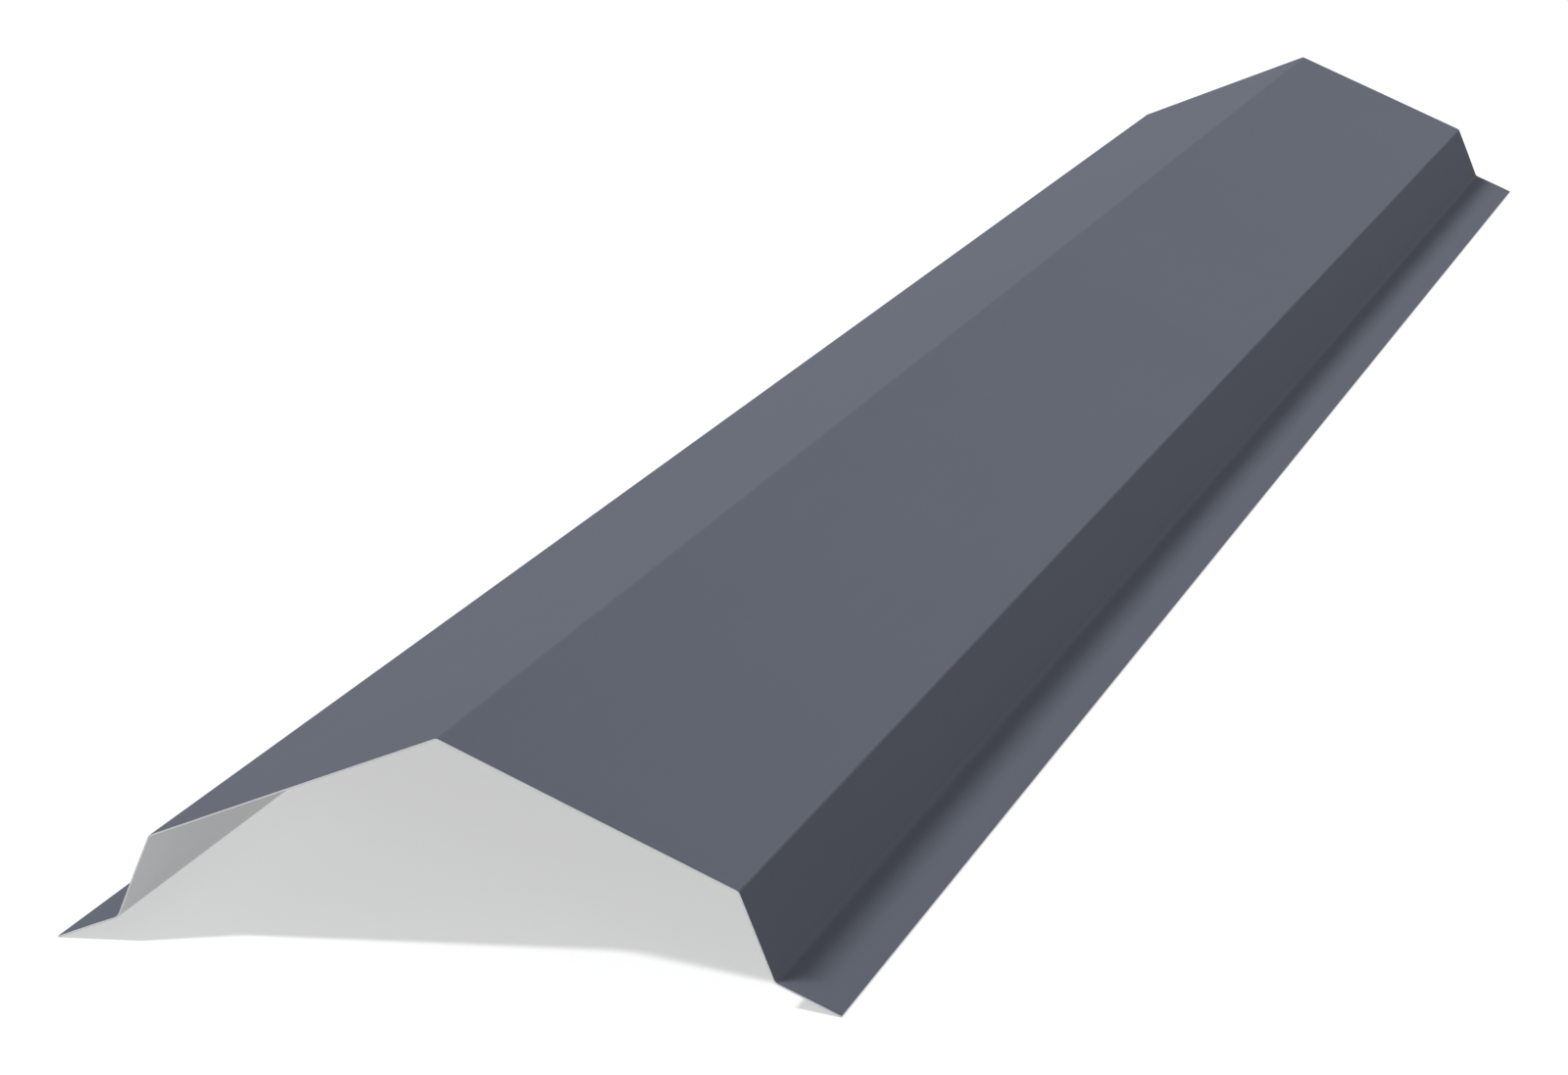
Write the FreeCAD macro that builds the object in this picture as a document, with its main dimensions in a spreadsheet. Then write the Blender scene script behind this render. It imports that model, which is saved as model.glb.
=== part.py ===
"""Roof ridge cap: one strip of coated steel sheet, folded five times along its length.

The section is the same from end to end. On each side of the ridge line a slope runs down
to a shoulder, where a riser turns down from it, and at the riser's foot a flange turns
back out, parallel to the slope, to lie on the roof sheets. Both ends and both long edges
are cut square, and the gauge stays the same round every fold.

The ridge line runs along Y and +Z is up. The origin is under the middle of the cap, at
the height of the flange edges that it stands on.
"""

import FreeCAD, Part
import math
import os
from collections import namedtuple

import Sketcher
from FreeCAD import Vector

# The driving sizes, in millimetres and degrees. The three widths are measured on the upper
# face, between the sharp corners where the flats would meet if the folds had no radius.
SIZES = [
    ("cap_length", 2000.0, "cut length, end to end"),
    ("slope_width", 139.0, "shoulder to ridge line"),
    ("riser_width", 40.0, "foot to shoulder"),
    ("flange_width", 30.0, "cut edge to foot"),
    ("sheet_gauge", 0.75, "thickness of the sheet"),
    ("slope_angle", 22.5, "rise of slope and flange above level"),
    ("fold_angle", 45.0, "turn from flange to riser, and back from riser to slope"),
    ("crown_radius", 1.75, "inside radius of the ridge fold and the shoulder folds"),
    ("foot_radius", 3.5, "inside radius of the two foot folds"),
]

# Points of a sketched line or arc, and the sketch's own axes, as constraints name them.
START, END, CENTRE = range(1, 4)
LEVEL_AXIS, UPRIGHT_AXIS = range(-1, -3, -1)

# The sheet's two faces, as indices.
UPPER, LOWER = range(2)

# One flat of the section: its width between sharp corners, its rise above level in degrees,
# and the rule that gives that rise from the sizes.
Flat = namedtuple("Flat", "name width rise rise_rule")


def size_sheet(doc):
    """The table of driving sizes, one row each: name, value and note."""
    sheet = doc.addObject("Spreadsheet::Sheet", "sizes")
    for row, (alias, value, note) in enumerate(SIZES, start=1):
        sheet.set(f"A{row}", alias)
        sheet.set(f"B{row}", str(value))
        sheet.setAlias(f"B{row}", alias)
        sheet.set(f"C{row}", note)
    doc.recompute()
    return sheet


def along(rise):
    """Unit vector towards the ridge, up a flat with this rise on the left half."""
    return Vector(math.cos(math.radians(rise)), math.sin(math.radians(rise)), 0)


def out_of(rise):
    """Unit vector out of the upper face of the same flat."""
    return Vector(-math.sin(math.radians(rise)), math.cos(math.radians(rise)), 0)


def point(curve, end):
    """Where a line or arc starts or ends."""
    return curve.StartPoint if end == START else curve.EndPoint


class Fold:
    """A fold between two flats: an arc on each face, both about one centre.

    The centre lies on the line that halves the corner, over the sheet where it turns up
    and under it where it turns down. The arc on that side has the inside radius, and the
    other one is a gauge larger. The ridge fold is drawn up to its crown only, because the
    other half mirrors it.
    """

    def __init__(self, sheet, name, radius_alias, corner, rise_before, rise_after):
        self.name = name
        self.turns_up = rise_after > rise_before
        inside = getattr(sheet, radius_alias)
        outside = inside + sheet.sheet_gauge
        self.radii = (inside, outside) if self.turns_up else (outside, inside)
        inside_rule = f"sizes.{radius_alias}"
        outside_rule = f"{inside_rule} + sizes.sheet_gauge"
        self.rules = (inside_rule, outside_rule) if self.turns_up else (outside_rule, inside_rule)

        half_turn = (rise_after - rise_before) / 2
        middle_rise = rise_before + half_turn
        reach = math.copysign(self.radii[UPPER] / math.cos(math.radians(half_turn)), half_turn)
        self.centre = corner + out_of(middle_rise) * reach
        last_rise = middle_rise if name == "ridge" else rise_after
        towards_arc = -90 if self.turns_up else 90
        self.angles = sorted(math.radians(towards_arc + rise) for rise in (rise_before, last_rise))

        # Arcs run anticlockwise, so a fold that turns up is drawn towards the ridge.
        self.enter, self.leave = (START, END) if self.turns_up else (END, START)

    def arc(self, face):
        circle = Part.Circle(self.centre, Vector(0, 0, 1), self.radii[face])
        return Part.ArcOfCircle(circle, *self.angles)


class HalfSection:
    """The left half of the section as a sketch, drawn from the cut edge up to the ridge."""

    def __init__(self, body, sheet):
        self.sheet = sheet
        self.sketch = body.newObject("Sketcher::SketchObject", "half_section")
        upright = next(plane for plane in body.Origin.OriginFeatures if plane.Role == "XZ_Plane")
        self.sketch.AttachmentSupport = [(upright, "")]
        self.sketch.MapMode = "FlatFace"

        pitch, steep = sheet.slope_angle, sheet.slope_angle + sheet.fold_angle
        self.flats = [
            Flat("flange", sheet.flange_width, pitch, "sizes.slope_angle"),
            Flat("riser", sheet.riser_width, steep, "sizes.slope_angle + sizes.fold_angle"),
            Flat("slope", sheet.slope_width, pitch, "sizes.slope_angle"),
        ]
        self.corners = self.sharp_corners()
        foot, shoulder, ridge = self.corners[1:]
        self.folds = [
            Fold(sheet, "foot", "foot_radius", foot, pitch, steep),
            Fold(sheet, "shoulder", "crown_radius", shoulder, steep, pitch),
            Fold(sheet, "ridge", "crown_radius", ridge, pitch, -pitch),
        ]
        self.draw_layout()
        self.draw_faces()
        self.draw_ends()

    def sharp_corners(self):
        """Cut edge, foot, shoulder and ridge on the upper face, with the lower edge at z = 0."""
        steps = [along(flat.rise) * flat.width for flat in self.flats]
        edge_height = out_of(self.flats[0].rise).y * self.sheet.sheet_gauge
        corners = [Vector(-sum(step.x for step in steps), edge_height, 0)]
        for step in steps:
            corners.append(corners[-1] + step)
        return corners

    def draw(self, curve, construction=False):
        return self.sketch.addGeometry(curve, construction)

    def constrain(self, *facts):
        return self.sketch.addConstraint(Sketcher.Constraint(*facts))

    def bind(self, name, rule, *facts):
        """Adds a named dimension that follows the sizes."""
        self.sketch.renameConstraint(self.constrain(*facts), name)
        self.sketch.setExpression(f"Constraints.{name}", rule)

    def draw_layout(self):
        """Construction lines between the sharp corners, which carry the widths and rises."""
        self.layout = {}
        for flat, start, end in zip(self.flats, self.corners, self.corners[1:]):
            line = self.draw(Part.LineSegment(start, end), construction=True)
            self.layout[flat.name] = line
            width_rule = f"sizes.{flat.name}_width * 1 mm"
            self.bind(f"{flat.name}_width", width_rule, "Distance", line, flat.width)
            rise = math.radians(flat.rise)
            self.bind(f"{flat.name}_rise", f"({flat.rise_rule}) * 1 deg", "Angle", line, rise)
        self.constrain("Coincident", self.layout["flange"], END, self.layout["riser"], START)
        self.constrain("Coincident", self.layout["riser"], END, self.layout["slope"], START)
        self.constrain("PointOnObject", self.layout["slope"], END, UPRIGHT_AXIS)

    def draw_faces(self):
        """The upper face on the layout lines, and the underside a gauge below it."""
        upper_edge = self.corners[0]
        lower_edge = upper_edge - out_of(self.flats[0].rise) * self.sheet.sheet_gauge
        self.faces = [self.draw_face(UPPER, upper_edge), self.draw_face(LOWER, lower_edge)]
        upper, lower = self.faces
        for fold in self.folds:
            self.constrain("Coincident", upper[fold.name], CENTRE, lower[fold.name], CENTRE)
        self.constrain("Coincident", upper["flange"], START, self.layout["flange"], START)
        self.constrain("Parallel", upper["flange"], self.layout["flange"])
        self.constrain("Parallel", lower["flange"], self.layout["flange"])
        self.constrain("Tangent", upper["riser"], self.layout["riser"])
        self.constrain("Tangent", upper["slope"], self.layout["slope"])

    def draw_face(self, face, edge):
        """One face's flats and fold arcs by name, each tangent to the one before."""
        side = ("upper", "lower")[face]
        drawn = {}
        start = edge
        before = None
        for flat, fold in zip(self.flats, self.folds):
            arc = fold.arc(face)
            line = self.draw(Part.LineSegment(start, point(arc, fold.enter)))
            bend = self.draw(arc)
            if before:
                self.constrain("Tangent", *before, line, START)
            self.constrain("Tangent", line, END, bend, fold.enter)
            radius_rule = f"({fold.rules[face]}) * 1 mm"
            self.bind(f"{fold.name}_{side}", radius_rule, "Radius", bend, fold.radii[face])
            drawn[flat.name], drawn[fold.name] = line, bend
            before = (bend, fold.leave)
            start = point(arc, fold.leave)
        return drawn

    def draw_ends(self):
        """The square cut edge on the level axis, and the middle plane at the ridge."""
        cut_edge = self.join_faces("flange", START)
        self.constrain("Perpendicular", cut_edge, self.layout["flange"])
        self.constrain("PointOnObject", cut_edge, END, LEVEL_AXIS)
        crown = self.folds[-1].leave
        middle = self.join_faces("ridge", crown)
        for end in (START, END):
            self.constrain("PointOnObject", middle, end, UPRIGHT_AXIS)
        self.constrain("PointOnObject", self.faces[UPPER]["ridge"], CENTRE, UPRIGHT_AXIS)

    def join_faces(self, name, end):
        """A line from the upper face to the underside, at one end of a named flat or fold."""
        curves = [face[name] for face in self.faces]
        points = [point(self.sketch.Geometry[curve], end) for curve in curves]
        line = self.draw(Part.LineSegment(*points))
        for line_end, curve in zip((START, END), curves):
            self.constrain("Coincident", line, line_end, curve, end)
        return line


def folded_sheet(doc, sheet):
    """The cap: half the section run along its length, and mirrored at the ridge."""
    body = doc.addObject("PartDesign::Body", "ridge_cap")
    body.Label = "ridge_cap"
    body.Placement = FreeCAD.Placement()
    sketch = HalfSection(body, sheet).sketch
    doc.recompute()

    half = body.newObject("PartDesign::Pad", "half_cap")
    half.Profile = sketch
    half.SideType = "Symmetric"
    half.setExpression("Length", "sizes.cap_length * 1 mm")

    whole = body.newObject("PartDesign::Mirrored", "whole_cap")
    whole.Originals = [half]
    whole.MirrorPlane = (sketch, ["V_Axis"])
    whole.Refine = True
    body.Tip = whole
    doc.recompute()
    return body, sketch


def check(doc, body, sketch):
    """Stops the build where anything failed, or where the cap isn't one sound solid."""
    for item in doc.Objects:
        if {"Invalid", "Error"} & set(item.State):
            raise RuntimeError(f"{item.Label} failed: {item.State}")
    if not sketch.FullyConstrained:
        raise RuntimeError("the section isn't fully constrained")
    shape = body.Shape
    if shape.isNull() or not shape.isValid() or len(shape.Solids) != 1:
        raise RuntimeError("the cap isn't one valid solid")


def main():
    doc = FreeCAD.newDocument("ridge_cap")
    sheet = size_sheet(doc)
    body, sketch = folded_sheet(doc, sheet)
    check(doc, body, sketch)
    os.makedirs("parts", exist_ok=True)
    body.Shape.exportStep(f"parts/{body.Label}.step")


main()
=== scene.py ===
"""The looks of the roof ridge cap: one folded strip of coil-coated steel on a white floor."""

import math
from collections import namedtuple

import bpy
import numpy as np
from mathutils import Matrix, Vector


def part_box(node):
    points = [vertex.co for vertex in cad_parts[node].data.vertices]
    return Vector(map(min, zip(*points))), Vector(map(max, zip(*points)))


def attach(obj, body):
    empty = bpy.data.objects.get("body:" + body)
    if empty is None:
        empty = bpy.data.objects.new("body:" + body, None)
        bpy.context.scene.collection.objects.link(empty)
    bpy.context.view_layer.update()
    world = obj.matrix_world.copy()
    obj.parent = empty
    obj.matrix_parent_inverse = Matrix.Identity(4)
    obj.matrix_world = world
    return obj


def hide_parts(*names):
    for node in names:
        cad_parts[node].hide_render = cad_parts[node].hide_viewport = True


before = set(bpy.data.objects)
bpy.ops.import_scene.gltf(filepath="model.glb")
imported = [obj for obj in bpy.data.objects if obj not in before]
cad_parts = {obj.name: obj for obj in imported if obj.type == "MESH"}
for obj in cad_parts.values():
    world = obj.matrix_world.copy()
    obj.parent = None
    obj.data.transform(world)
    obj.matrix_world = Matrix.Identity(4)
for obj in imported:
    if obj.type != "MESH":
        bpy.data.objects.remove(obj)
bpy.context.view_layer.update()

# The sheet's section, in metres and degrees. The widths are measured on the upper face,
# between the sharp corners where the flats would meet if the folds had no radius.
SLOPE_WIDTH = 0.139
RISER_WIDTH = 0.040
FLANGE_WIDTH = 0.030
GAUGE = 0.00075
SLOPE_ANGLE = 22.5
FOLD_ANGLE = 45.0
CROWN_RADIUS = 0.00175
FOOT_RADIUS = 0.0035

# How far the shears round the cut edges.
EDGE_ROUNDING = 0.00006

# The waves that rolling leaves in the flats: their greatest height, how many run together
# along a flat, their least and greatest length, and the seed that they are drawn from.
WAVE_HEIGHT = 0.00022
WAVES_TOGETHER = 4
WAVE_LENGTHS = (0.22, 0.85)
WAVE_SEED = 41

# How finely the sheet is divided: parts of a fold and of a rounding, and the size of a
# part of a flat each way. A support is a close row that keeps a flat's shading flat.
FOLD_PARTS = 10
ROUNDING_PARTS = 3
FLAT_PART = 0.009
LENGTH_PART = 0.0125
SUPPORT = 0.0005

# Squares that meet at a greater angle than this are shaded with a hard edge between them.
HARD_EDGE_ANGLE = 40.0

# The finishes' numbers on the sheet, and their linear colours.
TOP, BACK, EDGE = range(3)
TOP_COAT = (0.100, 0.109, 0.1345)
BACK_COAT = (0.348, 0.371, 0.385)
CUT_EDGE = (0.540, 0.555, 0.570)

# Where a cut edge goes over from broken metal to burnished, as heights from mid-gauge, and
# how far up and down that line wanders in all.
BREAK_BOTTOM = -0.00010
BREAK_TOP = 0.00012
BREAK_WANDER = 0.0002

# A thousandth of a millimetre, in which the coats' relief is given.
MICRON = 1e-6

# The floor: how light it looks, how much light it throws back on the sheet, the share of
# plain white that it shows over its shadows, and its side.
FLOOR_GREY = 1.0
FLOOR_BOUNCE = 0.40
FLOOR_WHITE_SHARE = 0.55
FLOOR_SIZE = 60.0
WHITE = (1.0, 1.0, 1.0, 1.0)

# The key light is a strip of lamps side by side in front on the left. For each metre of
# its height, a point throws its shadow this far to the right, by lamp, and this far back.
KEY_LIGHT = 3.18
KEY_ANGLE = 4.0
KEY_SHADOWS_RIGHT = (0.570, 0.635, 0.700)
KEY_SHADOW_BACK = 0.515

# The fill light stands low in front on the right, and reaches deep under the sheet. The sky
# is even.
FILL_LIGHT = 1.33
FILL_ANGLE = 16.0
FILL_FROM = (0.766, -0.642, 0.035)
SKY_LIGHT = 0.33

# The camera that was solved from the photo's corners, in metres and degrees.
PHOTO_WIDTH_PIXELS = 1600
FOCAL_LENGTH_PIXELS = 4687.7
SENSOR_WIDTH_MM = 36.0
CAMERA_PLACE = (0.6370, -2.6753, 0.6396)
CAMERA_AZIMUTH = 16.302
CAMERA_ELEVATION = 14.229
CAMERA_ROLL = 0.086

# The centreline of the section, with one row for each place on it: metres across the
# unfolded strip, point, normal, the flat's number and how far across that flat it lies,
# from 0 to 1, and how hard the coat is stretched there.
Section = namedtuple("Section", "across points normals flat share bend")

# One of the sheet's surfaces: its squares' corners, one finish or one for each square, and
# the two fields of the vertices that its map holds.
Surface = namedtuple("Surface", "corners finish map_fields")


def placed(name, data):
    """An object for some data, in the scene."""
    made = bpy.data.objects.new(name, data)
    bpy.context.scene.collection.objects.link(made)
    return made


# The folded sheet


def section_stretches():
    """Flats and folds in turn, from the left edge to the right: centreline length and turn.

    A flat is its width less the tangent lengths of the folds beside it, and a tangent
    length is the fold's radius on the upper face times the tangent of half its turn. A
    fold's centreline has the inside radius and half a gauge.
    """
    widths = [FLANGE_WIDTH, RISER_WIDTH, SLOPE_WIDTH, SLOPE_WIDTH, RISER_WIDTH, FLANGE_WIDTH]
    radii = [FOOT_RADIUS, CROWN_RADIUS, CROWN_RADIUS, CROWN_RADIUS, FOOT_RADIUS]
    degrees = [FOLD_ANGLE, -FOLD_ANGLE, -2 * SLOPE_ANGLE, -FOLD_ANGLE, FOLD_ANGLE]
    turns = [math.radians(turn) for turn in degrees]
    tangents = [
        (radius if turn > 0 else radius + GAUGE) * math.tan(abs(turn) / 2)
        for radius, turn in zip(radii, turns)
    ]
    before = [0.0, *tangents]
    after = [*tangents, 0.0]
    flats = [(width - start - end, 0.0) for width, start, end in zip(widths, before, after)]
    folds = [((radius + GAUGE / 2) * abs(turn), turn) for radius, turn in zip(radii, turns)]
    stretches = [flats[0]]
    for fold, flat in zip(folds, flats[1:]):
        stretches += [fold, flat]
    return stretches


def rounding_steps():
    """Distances from a cut edge where its rounding is drawn, r (1 - cos a), and a support."""
    angles = np.linspace(0, np.pi / 2, ROUNDING_PARTS + 1)
    return np.append(EDGE_ROUNDING * (1 - np.cos(angles)), EDGE_ROUNDING + SUPPORT)


def divided(length, part, cut_start, cut_end):
    """Places along a flat: close together at a cut edge or a fold, and even in between."""
    fold_side = np.array([0.0, SUPPORT])
    start = rounding_steps() if cut_start else fold_side
    end = length - (rounding_steps() if cut_end else fold_side)[::-1]
    count = max(2, round((end[0] - start[-1]) / part))
    middle = np.linspace(start[-1], end[0], count + 1)[1:-1]
    return np.concatenate([start, middle, end])


def places_across(stretches, stations):
    """Places on each flat and fold: metres across, the flat's number, and how far across it.

    A fold's places are given as the start of the flat before it, where no wave stands.
    """
    across, flat, share = [], [], []
    last = len(stretches) - 1
    for number, (length, turn) in enumerate(stretches):
        if turn:
            places = np.linspace(0, length, FOLD_PARTS + 1)[1:-1]
        else:
            places = divided(length, FLAT_PART, number == 0, number == last)
        across.append(stations[number] + places)
        flat.append(np.full(len(places), number // 2))
        share.append(np.zeros(len(places)) if turn else places / length)
    return np.concatenate(across), np.concatenate(flat), np.concatenate(share)


def bend(across, stations, turns):
    """How hard the coat is stretched: 1 through each fold, and down to 0 a support beyond."""
    starts, ends = stations[:-1][turns != 0], stations[1:][turns != 0]
    places = np.stack([starts - SUPPORT, starts, ends, ends + SUPPORT], axis=1)
    return np.interp(across, places.ravel(), np.tile([0.0, 1.0, 1.0, 0.0], len(starts)))


def section():
    """The section's centreline, with the ridge over x = 0 and the lower edges at z = 0.

    The heading turns only in the folds, in proportion to the distance across. From one
    place to the next the centreline is a chord, whose length is the distance times
    sin(a) / a for half the turn a and whose direction is the mean heading, so that every
    place lies on the true arc.
    """
    stretches = section_stretches()
    lengths, turns = np.array(stretches).T
    stations = np.concatenate([[0.0], np.cumsum(lengths)])
    headings = np.concatenate([[0.0], np.cumsum(turns)]) + math.radians(SLOPE_ANGLE)
    across, flat, share = places_across(stretches, stations)
    heading = np.interp(across, stations, headings)
    half_turn = np.diff(heading) / 2
    chord = np.diff(across) * np.sinc(half_turn / np.pi)
    direction = heading[:-1] + half_turn
    x = np.concatenate([[0.0], np.cumsum(chord * np.cos(direction))])
    z = np.concatenate([[0.0], np.cumsum(chord * np.sin(direction))])
    normals = np.stack([-np.sin(heading), np.cos(heading)], axis=1)
    lowest = (z - normals[:, 1] * GAUGE / 2).min()
    points = np.stack([x - x[-1] / 2, z - lowest], axis=1)
    return Section(across, points, normals, flat, share, bend(across, stations, turns))


def waves(shape, along):
    """How far the flats stand out of true, as sheet that was rolled and folded does.

    Across each flat it is sin squared, so that it is nought at the folds and edges, and
    along it a mean of cosines, whose lengths and phases are drawn for each flat.
    """
    random = np.random.default_rng(WAVE_SEED)
    window = np.sin(np.pi * shape.share) ** 2
    drawn = (shape.flat.max() + 1, WAVES_TOGETHER)
    lengths = random.uniform(*WAVE_LENGTHS, drawn)
    phases = random.uniform(0, 2 * np.pi, drawn)
    profile = np.cos(2 * np.pi * along[:, None, None] / lengths + phases).mean(axis=2)
    return WAVE_HEIGHT * profile[:, shape.flat] * window


def half_thickness(across, along):
    """Half the gauge, less what the rounding takes near the cut edges.

    At a distance d from the nearest cut edge, and within the rounding r, that is
    r - sqrt(r^2 - (r - d)^2).
    """
    to_side = np.minimum(across, across[-1] - across)
    to_end = np.minimum(along, along[-1] - along)
    distance = np.minimum(to_side[None, :], to_end[:, None])
    short = np.clip(EDGE_ROUNDING - distance, 0, None)
    return GAUGE / 2 - EDGE_ROUNDING + np.sqrt(EDGE_ROUNDING**2 - short**2)


def squares(grid):
    """Corner numbers of every square of a grid of vertex numbers, anticlockwise from above."""
    corners = [grid[:-1, :-1], grid[:-1, 1:], grid[1:, 1:], grid[1:, :-1]]
    return np.stack(corners, axis=-1).reshape(-1, 4)


def under_finish(rows, columns):
    """The underside's finish for each square: the back coat, and bare metal on its rounding."""
    finishes = np.full((rows - 1, columns - 1), EDGE)
    coated = slice(ROUNDING_PARTS, -ROUNDING_PARTS)
    finishes[coated, coated] = BACK
    return finishes.ravel()


def sheet_surfaces(rows, columns):
    """The upper face, the underside and the four cut edges, which share their vertices.

    A map holds metres across and along the unfolded strip, and on a cut edge metres along
    the edge and through the sheet.
    """
    upper, under = np.arange(2 * rows * columns).reshape(2, rows, columns)
    near_end = np.stack([under[0], upper[0]])
    far_end = np.stack([upper[-1], under[-1]])
    left_side = np.stack([upper[:, 0], under[:, 0]])
    right_side = np.stack([under[:, -1], upper[:, -1]])
    return [
        Surface(squares(upper), TOP, ("across", "along")),
        Surface(squares(under)[:, ::-1], under_finish(rows, columns), ("across", "along")),
        Surface(squares(near_end), EDGE, ("across", "through")),
        Surface(squares(far_end), EDGE, ("across", "through")),
        Surface(squares(left_side), EDGE, ("along", "through")),
        Surface(squares(right_side), EDGE, ("along", "through")),
    ]


def closed_mesh(name, positions, fields, surfaces, finishes):
    """One mesh of all the surfaces, over the vertices' positions and their named fields."""
    corners = np.concatenate([surface.corners for surface in surfaces])
    numbers = [np.broadcast_to(surface.finish, len(surface.corners)) for surface in surfaces]
    strip = [
        np.stack([fields[field][surface.corners] for field in surface.map_fields], axis=-1)
        for surface in surfaces
    ]
    mesh = bpy.data.meshes.new(name)
    mesh.vertices.add(len(positions))
    mesh.vertices.foreach_set("co", positions.ravel())
    mesh.loops.add(corners.size)
    mesh.loops.foreach_set("vertex_index", corners.ravel())
    mesh.polygons.add(len(corners))
    mesh.polygons.foreach_set("loop_start", np.arange(0, corners.size, 4))
    for finish in finishes:
        mesh.materials.append(finish)
    mesh.polygons.foreach_set("material_index", np.concatenate(numbers))
    mesh.uv_layers.new(name="strip").data.foreach_set("uv", np.concatenate(strip).ravel())
    for field in ("bend", "through"):
        mesh.attributes.new(field, "FLOAT", "POINT").data.foreach_set("value", fields[field])
    mesh.update()
    mesh.validate()
    mesh.shade_smooth()
    mesh.set_sharp_from_angle(angle=math.radians(HARD_EDGE_ANGLE))
    return mesh


def folded_sheet(name, finishes):
    """The whole sheet as one closed mesh: the section carried along the ridge line.

    A vertex is the centreline's point, plus the normal times the wave and plus or minus
    the half thickness. The upper face's vertices come first, and then the underside's.
    """
    low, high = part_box("ridge_cap")
    shape = section()
    along = divided(high.y - low.y, LENGTH_PART, True, True)
    wave = waves(shape, along)
    half = half_thickness(shape.across, along)
    offsets = np.stack([wave + half, wave - half])
    points = shape.points + offsets[..., None] * shape.normals
    positions = np.empty((*offsets.shape, 3))
    positions[..., 0] = points[..., 0] + (low.x + high.x) / 2
    positions[..., 1] = (low.y + along)[:, None]
    positions[..., 2] = points[..., 1] + low.z
    fields = {
        "across": np.broadcast_to(shape.across, offsets.shape).ravel(),
        "along": np.broadcast_to(along[:, None], offsets.shape).ravel(),
        "through": np.stack([half, -half]).ravel(),
        "bend": np.broadcast_to(shape.bend, offsets.shape).ravel(),
    }
    surfaces = sheet_surfaces(*half.shape)
    mesh = closed_mesh(name, positions.reshape(-1, 3), fields, surfaces, finishes)
    return placed(name, mesh)


# Shader maths


class Signal:
    """What a node gives out. A sum, difference or product with it adds a Math node."""

    def __init__(self, recipe, socket):
        self.recipe = recipe
        self.socket = socket

    def __add__(self, other):
        return self.recipe.math("ADD", self, other)

    def __sub__(self, other):
        return self.recipe.math("SUBTRACT", self, other)

    def __rsub__(self, other):
        return self.recipe.math("SUBTRACT", other, self)

    def __mul__(self, other):
        return self.recipe.math("MULTIPLY", self, other)

    __radd__ = __add__
    __rmul__ = __mul__


class Recipe:
    """The node tree of a material or of the world, written as expressions."""

    def __init__(self, owner):
        owner.use_nodes = True
        self.owner = owner
        self.tree = owner.node_tree
        self.tree.nodes.clear()

    def node(self, kind, settings=None, inputs=None, output=0):
        """Adds a node, with its settings first and then its sockets' values or links."""
        made = self.tree.nodes.new(kind)
        for name, value in (settings or {}).items():
            setattr(made, name, value)
        for name, value in (inputs or {}).items():
            if isinstance(value, Signal):
                self.tree.links.new(value.socket, made.inputs[name])
            else:
                made.inputs[name].default_value = value
        return Signal(self, made.outputs[output] if made.outputs else None)

    def math(self, operation, *values):
        """A Math node on signals and numbers."""
        return self.node("ShaderNodeMath", {"operation": operation}, dict(enumerate(values)))

    def noise(self, place, cells, detail=2.0):
        """Noise about nought, from -0.5 to 0.5, with so many cells a metre each way."""
        stretched = self.node("ShaderNodeMapping", None, {"Vector": place, "Scale": cells})
        inputs = {"Vector": stretched, "Scale": 1.0, "Detail": detail}
        return self.node("ShaderNodeTexNoise", None, inputs) - 0.5

    def tinted(self, colour, tone):
        """A colour made lighter or darker by a signal."""
        settings = {"operation": "SCALE"}
        return self.node("ShaderNodeVectorMath", settings, {0: colour, "Scale": tone})

    def attribute(self, name):
        """A field of the mesh's vertices."""
        return self.node("ShaderNodeAttribute", {"attribute_name": name}, output="Fac")

    def strip_place(self):
        """Metres across and along the unfolded strip."""
        return self.node("ShaderNodeUVMap", {"uv_map": "strip"})

    def object_place(self):
        """Metres in the model's frame."""
        return self.node("ShaderNodeTexCoord", output="Object")

    def bumps(self, height):
        """The normal of a surface with this relief, in metres."""
        return self.node("ShaderNodeBump", None, {"Distance": 1.0, "Height": height})

    def mixed(self, share, first, second):
        """Two shaders as one, with this share of the second."""
        return self.node("ShaderNodeMixShader", None, {0: share, 1: first, 2: second})

    def painted(self, inputs):
        """The finished material, with these values on the sockets of its one shader."""
        return self.finish(self.node("ShaderNodeBsdfPrincipled", None, inputs))

    def finish(self, shader, kind="ShaderNodeOutputMaterial"):
        """The material or world that the tree belongs to, with this shader on its output."""
        self.node(kind, None, {"Surface": shader})
        return self.owner


# The finishes. A pattern runs from -0.5 to 0.5, and a mask from 0 to 1, so that the number
# beside either is how far it can move a value in all.


def graphite_top_coat():
    """Matt graphite coil coating: even, with faint roller streaks along the strip."""
    recipe = Recipe(bpy.data.materials.new("graphite_top_coat"))
    place = recipe.object_place()
    streaks = recipe.noise(recipe.strip_place(), (260, 1.6, 1), detail=3)
    clouds = recipe.noise(place, (6, 6, 6))
    grain = recipe.noise(place, (2400, 2400, 2400), detail=1)
    peel = recipe.noise(place, (620, 620, 620))
    stretched = recipe.attribute("bend")
    tone = 1 + streaks * 0.05 + clouds * 0.05 + grain * 0.06 + stretched * 0.05
    relief = peel * (12 * MICRON) + grain * (4 * MICRON) + streaks * (4 * MICRON)
    return recipe.painted(
        {
            "Base Color": recipe.tinted(TOP_COAT, tone),
            "Roughness": 0.86 + grain * 0.08 + streaks * 0.06 - stretched * 0.06,
            "Diffuse Roughness": 1.0,
            "Specular IOR Level": 0.04,
            "Normal": recipe.bumps(relief),
        }
    )


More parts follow.
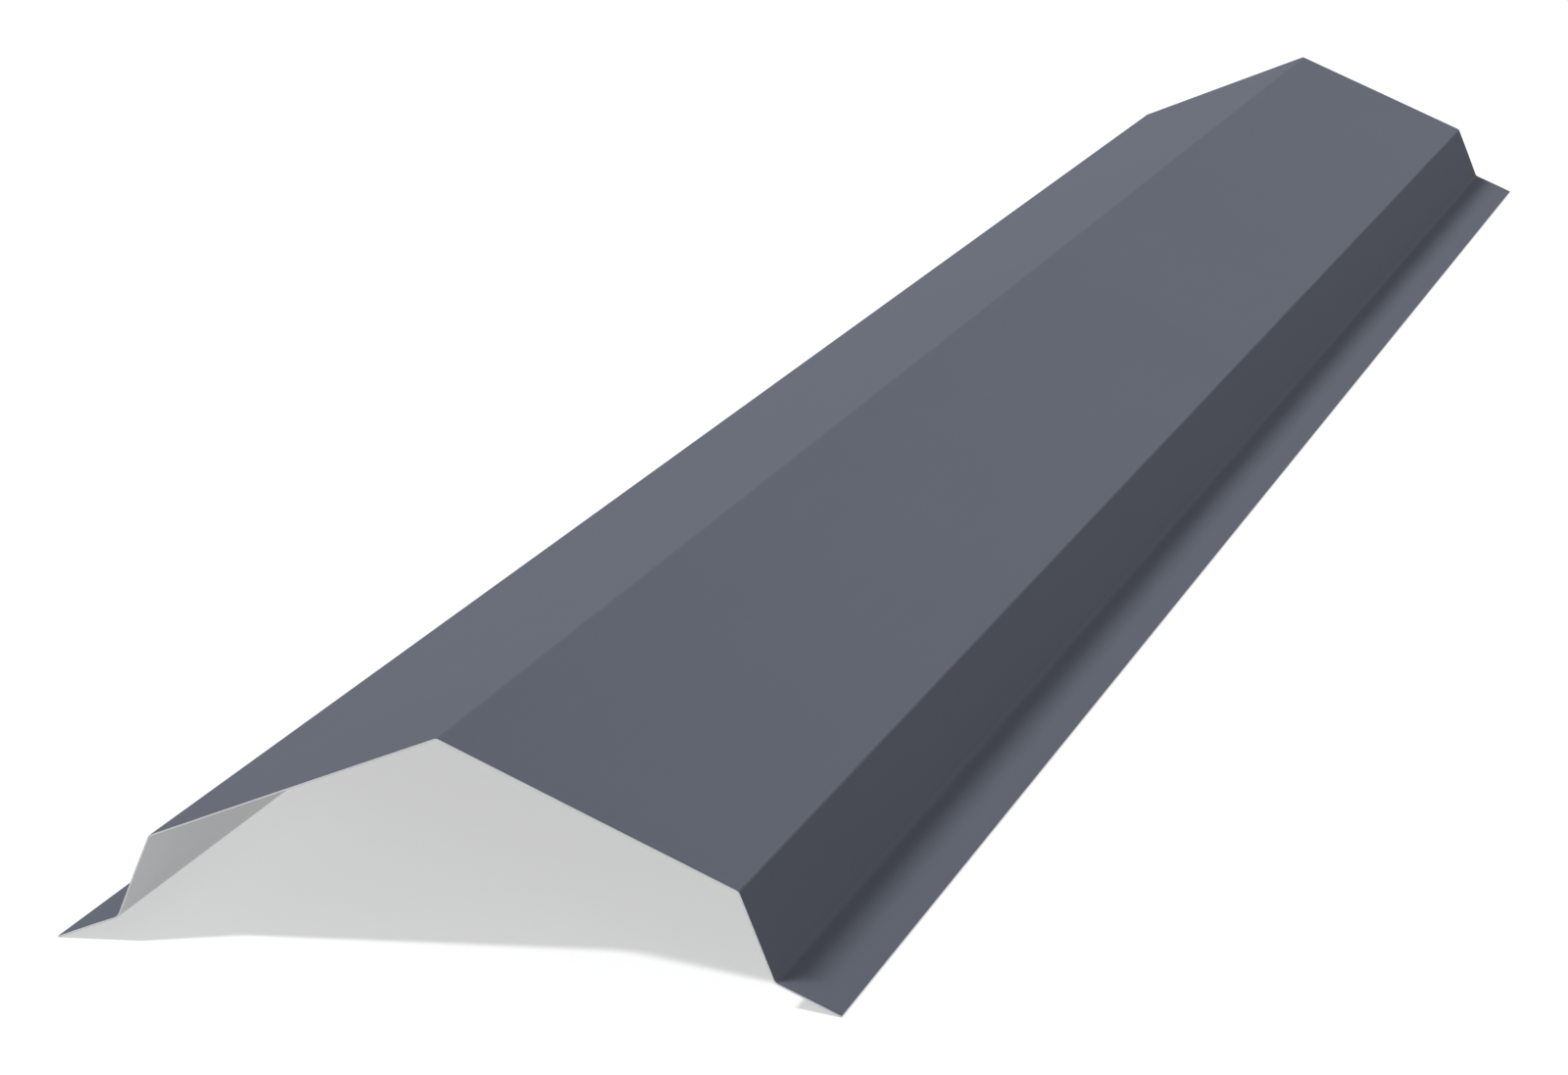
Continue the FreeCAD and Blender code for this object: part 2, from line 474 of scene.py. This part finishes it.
def grey_back_coat():
    """Light grey primer under clear lacquer on the inside, with faint streaks of the roller."""
    recipe = Recipe(bpy.data.materials.new("grey_back_coat"))
    place = recipe.object_place()
    streaks = recipe.noise(recipe.strip_place(), (420, 2.4, 1), detail=4)
    clouds = recipe.noise(place, (11, 11, 11), detail=3)
    grain = recipe.noise(place, (1700, 1700, 1700), detail=1)
    tone = 1 + streaks * 0.06 + clouds * 0.03 + grain * 0.04
    relief = grain * (5 * MICRON) + streaks * (6 * MICRON)
    return recipe.painted(
        {
            "Base Color": recipe.tinted(BACK_COAT, tone),
            "Roughness": 0.20 + grain * 0.05 + clouds * 0.03,
            "Specular IOR Level": 1.0,
            "Coat Weight": 1.0,
            "Coat Roughness": 0.15,
            "Normal": recipe.bumps(relief),
        }
    )


def sheared_edge():
    """Bare cut steel with zinc smeared over it: burnished above, broken and duller below."""
    recipe = Recipe(bpy.data.materials.new("sheared_edge"))
    strip = recipe.strip_place()
    teeth = recipe.noise(strip, (5200, 700, 1), detail=3)
    drag = recipe.noise(strip, (90, 900, 1))
    height = recipe.attribute("through") + teeth * BREAK_WANDER
    settings = {"interpolation_type": "SMOOTHSTEP"}
    limits = {"Value": height, "From Min": BREAK_BOTTOM, "From Max": BREAK_TOP}
    broken = 1 - recipe.node("ShaderNodeMapRange", settings, limits)
    tone = 1 + teeth * 0.16 + drag * 0.10 - broken * 0.10
    return recipe.painted(
        {
            "Base Color": recipe.tinted(CUT_EDGE, tone),
            "Metallic": 0.35 + drag * 0.2,
            "Roughness": 0.38 + broken * 0.2,
            "Normal": recipe.bumps(teeth * (0.4 + broken) * (20 * MICRON)),
        }
    )


# Floor, light and camera


def background_ray(recipe):
    """1 for what the camera sees straight, mirrored or through glass, and 0 for light."""
    rays = [
        recipe.node("ShaderNodeLightPath", output=name)
        for name in ("Is Camera Ray", "Is Glossy Ray", "Is Transmission Ray")
    ]
    return recipe.math("MINIMUM", rays[0] + rays[1] + rays[2], 1.0)


def white_floor():
    """A floor that looks white and still keeps the sheet's shadow."""
    recipe = Recipe(bpy.data.materials.new("white_floor"))
    seen = background_ray(recipe)
    grey = seen * (FLOOR_GREY - FLOOR_BOUNCE) + FLOOR_BOUNCE
    lit = recipe.node("ShaderNodeBsdfDiffuse", None, {"Color": grey})
    white = recipe.node("ShaderNodeEmission", None, {"Color": WHITE, "Strength": 1.0})
    shown = recipe.mixed(seen * FLOOR_WHITE_SHARE, lit, white)
    low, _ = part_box("ridge_cap")
    reach = FLOOR_SIZE / 2
    corners = [(-reach, -reach), (reach, -reach), (reach, reach), (-reach, reach)]
    mesh = bpy.data.meshes.new("floor")
    mesh.from_pydata([(x, y, low.z) for x, y in corners], [], [(0, 1, 2, 3)])
    mesh.materials.append(recipe.finish(shown))
    placed("floor", mesh)


def studio_world():
    """Even light from all round, and a white backdrop."""
    world = bpy.data.worlds.new("studio")
    recipe = Recipe(world)
    light = recipe.node("ShaderNodeBackground", None, {"Color": WHITE, "Strength": SKY_LIGHT})
    white = recipe.node("ShaderNodeBackground", None, {"Color": WHITE, "Strength": 1.0})
    shown = recipe.mixed(background_ray(recipe), light, white)
    bpy.context.scene.world = recipe.finish(shown, "ShaderNodeOutputWorld")


def far_lamp(name, strength, degrees, direction):
    """A lamp so far off that its light is parallel, this wide and from this direction."""
    lamp = bpy.data.lights.new(name, "SUN")
    lamp.energy = strength
    lamp.angle = math.radians(degrees)
    placed(name, lamp).rotation_euler = Vector(direction).to_track_quat("Z", "Y").to_euler()


def studio_lamps():
    """The strip of key lamps, which share the key light evenly, and the fill light."""
    strength = KEY_LIGHT / len(KEY_SHADOWS_RIGHT)
    for number, right in enumerate(KEY_SHADOWS_RIGHT, start=1):
        far_lamp(f"key_{number}", strength, KEY_ANGLE, (-right, -KEY_SHADOW_BACK, 1.0))
    far_lamp("fill", FILL_LIGHT, FILL_ANGLE, FILL_FROM)


def photo_camera():
    """The photo's camera: turned to its azimuth, tilted down from level, and rolled."""
    camera = bpy.data.cameras.new("camera")
    camera.sensor_width = SENSOR_WIDTH_MM
    camera.lens = FOCAL_LENGTH_PIXELS / PHOTO_WIDTH_PIXELS * SENSOR_WIDTH_MM
    seat = placed("camera", camera)
    turn = Matrix.Rotation(math.radians(CAMERA_AZIMUTH), 3, "Z")
    tilt = Matrix.Rotation(math.radians(90 - CAMERA_ELEVATION), 3, "X")
    roll = Matrix.Rotation(math.radians(CAMERA_ROLL), 3, "Z")
    seat.location = CAMERA_PLACE
    seat.rotation_euler = (turn @ tilt @ roll).to_euler()
    bpy.context.scene.camera = seat


sheet = folded_sheet("folded_sheet", [graphite_top_coat(), grey_back_coat(), sheared_edge()])
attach(sheet, "root")
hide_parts("ridge_cap")

white_floor()
studio_world()
studio_lamps()
photo_camera()
bpy.context.scene.view_settings.view_transform = "Standard"
